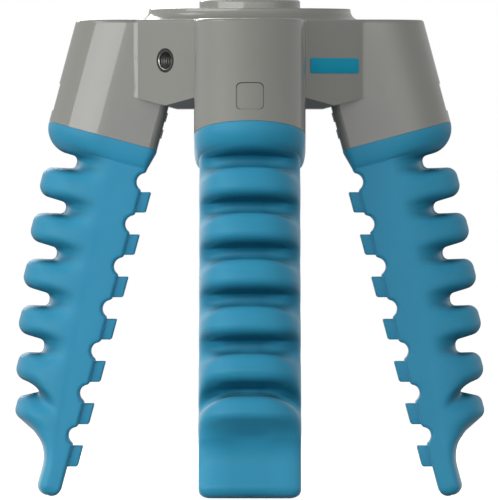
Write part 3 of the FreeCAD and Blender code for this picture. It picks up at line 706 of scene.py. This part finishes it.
# Where the painted rim sheen is held back: in the grooves and along the middle of the outer side.
sheen_hidden_under_lobe = along_finger([(0, -1.6, 0), (0, -0.6, 1), (0, 0.6, 1), (0, 1.4, 0)])
sheen_hidden_over_lobe = along_finger([(1, -0.7, 0), (1, -0.1, 1), (1, 0.6, 1), (1, 2.0, 0)])
sheen_hidden_in_grooves = (
    sheen_hidden_under_lobe * around_finger((54, 1), (70, 0.3), (80, 0))
    + sheen_hidden_over_lobe * around_finger((46, 1), (62, 0.15), (75, 0))
)
looks = {
    # painted light: 0 on the flanks, which take the paler colours
    "lobe": around_finger((55, 1), (90, 0)) * np.ones((ROWS, 1)),
    # painted shade in the grooves
    "groove": front_painted_shade * front_shade_around + painted_shade_under_lobe * under_shade_around + painted_shade_over_lobe * over_shade_around,
    # where the painted rim sheen is held back
    "bare": np.maximum(sheen_hidden_in_grooves, around_finger((12, 0.75), (28, 0.6), (44, 0))),
}
for name, outer in looks.items():
    values = np.zeros((ROWS, sides))
    values[:, :len(angles)] = outer
    values[:, 1 - len(angles):] = outer[:, :0:-1]
    skin.attributes.new(name, "FLOAT", "POINT").data.foreach_set("value", [*values.ravel(), 0.0, 0.0])

pad_mesh = bmesh.new()
bmesh.ops.create_cube(pad_mesh, size=1.0)
for corner in pad_mesh.verts:
    into = PAD_ROOT if corner.co.x > 0 else -PAD_HEIGHT
    corner.co.x = (INNER_FACE + into) * MM
    corner.co.y *= 2 * PAD_HALF_WIDTH * MM
    corner.co.z = (corner.co.z - 0.5) * PAD_LENGTH * MM - into * math.tan(FINGER_TILT) * MM
shown_edges = [edge for edge in pad_mesh.edges if min(end.co.x for end in edge.verts) < INNER_FACE * MM]
bmesh.ops.bevel(pad_mesh, geom=shown_edges, offset=PAD_EDGE * MM, segments=4, profile=0.5, affect="EDGES")
bmesh.ops.recalc_face_normals(pad_mesh, faces=pad_mesh.faces)
pad_form = bpy.data.objects.new("pad_form", bpy.data.meshes.new("pad_form"))
pad_mesh.to_mesh(pad_form.data)
pad_mesh.free()

# The flanks' colours are paler than the outer side's as painted light, as if more light fell on them.
DARK_PAINTED_LIGHT_FLANK, LIGHT_PAINTED_LIGHT_FLANK = (0.040, 0.345, 0.565), (0.054, 0.400, 0.640)
DARK_LOBE, LIGHT_LOBE = (0.028, 0.290, 0.475), (0.040, 0.340, 0.545)
# A deep blue for the painted groove shade, and a pale blue for the painted rim sheen.
PAINTED_GROOVE_SHADE_BLUE, PAINTED_SHEEN_BLUE = (0.001, 0.098, 0.168), (0.74, 0.91, 1.0)
MOULD_GRAIN, MOULD_GRAIN_DEPTH, SILICONE_CLOUD = 0.35, 0.008, 14.0


def silicone(shade):
    grain = shade.noise(MOULD_GRAIN, detail=2.0)
    cloud = shade.noise(SILICONE_CLOUD, detail=2.0)
    mottle = 0.75 * cloud + 0.25 * grain
    flank = shade.between(mottle, DARK_PAINTED_LIGHT_FLANK, LIGHT_PAINTED_LIGHT_FLANK)
    lobe = shade.between(mottle, DARK_LOBE, LIGHT_LOBE)
    # Painted light: the flanks take paler colours than the outer side.
    colour_with_painted_flank_light = shade.between(shade.attribute("lobe"), flank, lobe)
    rubber = shade.node("ShaderNodeBsdfPrincipled", {}, {
        # Painted shade: the grooves are darkened towards a deep blue.
        "Base Color": shade.between(shade.attribute("groove"), colour_with_painted_flank_light, PAINTED_GROOVE_SHADE_BLUE),
        "Roughness": 0.42 + 0.08 * (cloud - 0.5) + 0.06 * grain,
        "Normal": shade.relief(grain, MOULD_GRAIN_DEPTH),
        "Specular IOR Level": 0.22,
    })
    # Painted sheen: a pale diffuse layer, mixed in towards grazing angles, stands in for bright rims of
    # reflected light.
    bloom = shade.node("ShaderNodeBsdfDiffuse", {}, {"Color": (*PAINTED_SHEEN_BLUE, 1)})
    facing = shade.node("ShaderNodeLayerWeight", {}, {"Blend": 0.5}, "Facing")
    rim = facing ** 4.0 * (1 - shade.attribute("bare"))
    return shade.node("ShaderNodeMixShader", {}, {0: rim, 1: rubber, 2: bloom})


pads_tree, given = piece_tree("grip_pads_along_finger", {
    "Pad": "Object", "Count": "Int", "First": "Vector", "Step": "Vector"
})
pads = Shade(pads_tree)
pad_line = pads.node("GeometryNodeMeshLine", {}, {
    "Count": given["Count"], "Start Location": given["First"], "Offset": given["Step"]
})
pad = pads.node("GeometryNodeObjectInfo", {}, {"Object": given["Pad"]}, "Geometry")
row_of_pads = pads.node("GeometryNodeInstanceOnPoints", {}, {"Points": pad_line, "Instance": pad})
end_tree(
    pads.node("GeometryNodeJoinGeometry", {}, {"Geometry": [row_of_pads, given["Geometry"]]}),
    finish("blue_silicone", silicone),
)
finger_mesh = mesh_by_tree(skin, pads_tree, {
    "Pad": pad_form, "Count": PAD_COUNT, "First": (0, 0, -PAD_START * MM), "Step": (0, 0, -PAD_PITCH * MM)
})
bpy.data.objects.remove(pad_form)

# The fingers stand a quarter turn apart, each tilted out from the gripper's axis.
FINGER_SHARP_EDGE = 50
for number, side in enumerate(FINGER_ORDER):
    place = Matrix.Rotation(number * math.pi / 2, 4, "Z") @ Matrix.Rotation(-FINGER_TILT, 4, "Y")
    moulding = settle("soft_finger_" + side, finger_mesh.copy(), FINGER_SHARP_EDGE)
    moulding.data.transform(place)
    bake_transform(moulding)
    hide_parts("finger_" + side)


# Finger keys: small clips of the body's grey plastic, pushed in from outside, that lock the plug of each
# finger in its holder. Only the square head and the two leg ends show.
for side in FINGER_ORDER:
    wear("finger_key_" + side, grey_plastic)


# Studio: a plain pale floor, just low enough for the bent fingers, a broad panel to the left of the
# camera, two smaller ones higher up, soft light all round, and a long lens level with the fingers.
# Its sizes are in metres, and light counts as 1 where it shows white.
FLOOR_HALF, FLOOR_DROP = 9, 1.6 * MM
FLOOR_PALE, FLOOR_DIM = (0.92, 0.92, 0.92), (0.20, 0.20, 0.20)
FLOOR_GLOW, NO_GLOW = (0.68, 0.68, 0.68), (0.0, 0.0, 0.0)


def pale_floor(shade):
    """White to the camera, but dim to the object, on which it throws no glow."""
    seen = shade.node("ShaderNodeLightPath", {}, {}, "Is Camera Ray")
    matt = shade.node("ShaderNodeBsdfDiffuse", {}, {"Color": shade.between(seen, FLOOR_DIM, FLOOR_PALE)})
    light = shade.between(seen, NO_GLOW, FLOOR_GLOW)
    glow = shade.node("ShaderNodeEmission", {}, {"Color": light, "Strength": 1.0})
    return shade.node("ShaderNodeAddShader", {}, {0: matt, 1: glow})


floor_level = cad_box[0].z - FLOOR_DROP
floor_ends = (-FLOOR_HALF, FLOOR_HALF)
floor_mesh = bpy.data.meshes.new("floor")
floor_mesh.from_pydata([(x, y, floor_level) for y in floor_ends for x in floor_ends], [], [(0, 1, 3, 2)])
floor_mesh.materials.append(finish("pale_floor", pale_floor))
floor = bpy.data.objects.new("floor", floor_mesh)
bpy.context.scene.collection.objects.link(floor)

ROOM_LIGHT, CEILING_SHADE, CEILING_START, CEILING_FULL = 0.47, 0.2, 0.35, 0.95
world = bpy.data.worlds.new("studio")
bpy.context.scene.world = world
world.use_nodes = True
world.node_tree.nodes.clear()
room = Shade(world.node_tree)
seen = room.node("ShaderNodeLightPath", {}, {}, "Is Camera Ray")
direction = room.node("ShaderNodeTexCoord", {}, {}, "Generated")
across, ahead, upward = (room.node("ShaderNodeSeparateXYZ", {}, {0: direction}, axis) for axis in "XYZ")


def ramp(value, start, end):
    """A soft step from 0 at start to 1 at end."""
    return room.node("ShaderNodeMapRange", {"interpolation_type": "SMOOTHSTEP"}, {
        "Value": value, "From Min": start, "From Max": end
    })


def wall(brightness, towards, start, full, top, bottom):
    """Light from one side of the room: it starts and is full where the direction points so far towards
    that side, and fades out from bottom to top."""
    return brightness * ramp(towards, start, full) * ramp(upward, top, bottom)


front_wall = wall(1.45, 0 - ahead, start=0.15, full=0.98, top=0.45, bottom=0.05)
right_wall = wall(0.25, across, start=0.1, full=0.8, top=0.5, bottom=0.1)
left_wall = wall(0.3, 0 - across, start=0.5, full=0.95, top=0.5, bottom=0.1)
ceiling = CEILING_SHADE * ramp(upward, CEILING_START, CEILING_FULL)
dome = ROOM_LIGHT - ceiling + front_wall + right_wall + left_wall
sky = room.node("ShaderNodeBackground", {}, {"Color": dome + seen * (1 - dome), "Strength": 1.0})
sky.into("ShaderNodeOutputWorld", "Surface")

PANEL_AIM = Vector((0, 0, -0.05))


def panel(name, azimuth, elevation, distance, size, radiance):
    """A rectangular lamp that faces the object; its azimuth is from the camera's side, to the left."""
    lamp = bpy.data.lights.new(name, "AREA")
    lamp.shape = "RECTANGLE"
    lamp.size, lamp.size_y = size
    lamp.energy = radiance * math.pi * size[0] * size[1]
    away = Vector((
        -math.sin(math.radians(azimuth)) * math.cos(math.radians(elevation)),
        -math.cos(math.radians(azimuth)) * math.cos(math.radians(elevation)),
        math.sin(math.radians(elevation)),
    ))
    holder = bpy.data.objects.new(name, lamp)
    holder.location = away * distance + PANEL_AIM
    holder.rotation_euler = away.to_track_quat("Z", "Y").to_euler()
    bpy.context.scene.collection.objects.link(holder)


panel("front_left_panel", azimuth=45.5, elevation=6, distance=1.3, size=(1.65, 0.62), radiance=3.0)
panel("back_left_panel", azimuth=167, elevation=21, distance=1.4, size=(0.62, 0.40), radiance=5.0)
panel("high_left_panel", azimuth=85, elevation=42, distance=1.4, size=(0.6, 0.5), radiance=2.6)

CAMERA_ASIDE, CAMERA_DISTANCE, CAMERA_HEIGHT = -0.0002, 4.6, -0.0515
VIEW_HEIGHT, VIEW_CENTRE, VIEW_END = 0.12413, -0.0598, 50.0
lens = bpy.data.cameras.new("camera")
lens.sensor_width = 36.0
lens.lens = lens.sensor_width * CAMERA_DISTANCE / VIEW_HEIGHT
lens.shift_y = (VIEW_CENTRE - CAMERA_HEIGHT) / VIEW_HEIGHT
lens.clip_end = VIEW_END
camera = bpy.data.objects.new("camera", lens)
camera.location = (CAMERA_ASIDE, -CAMERA_DISTANCE, CAMERA_HEIGHT)
camera.rotation_euler = (math.pi / 2, 0, 0)
bpy.context.scene.collection.objects.link(camera)
bpy.context.scene.camera = camera
bpy.context.scene.view_settings.view_transform = "Standard"
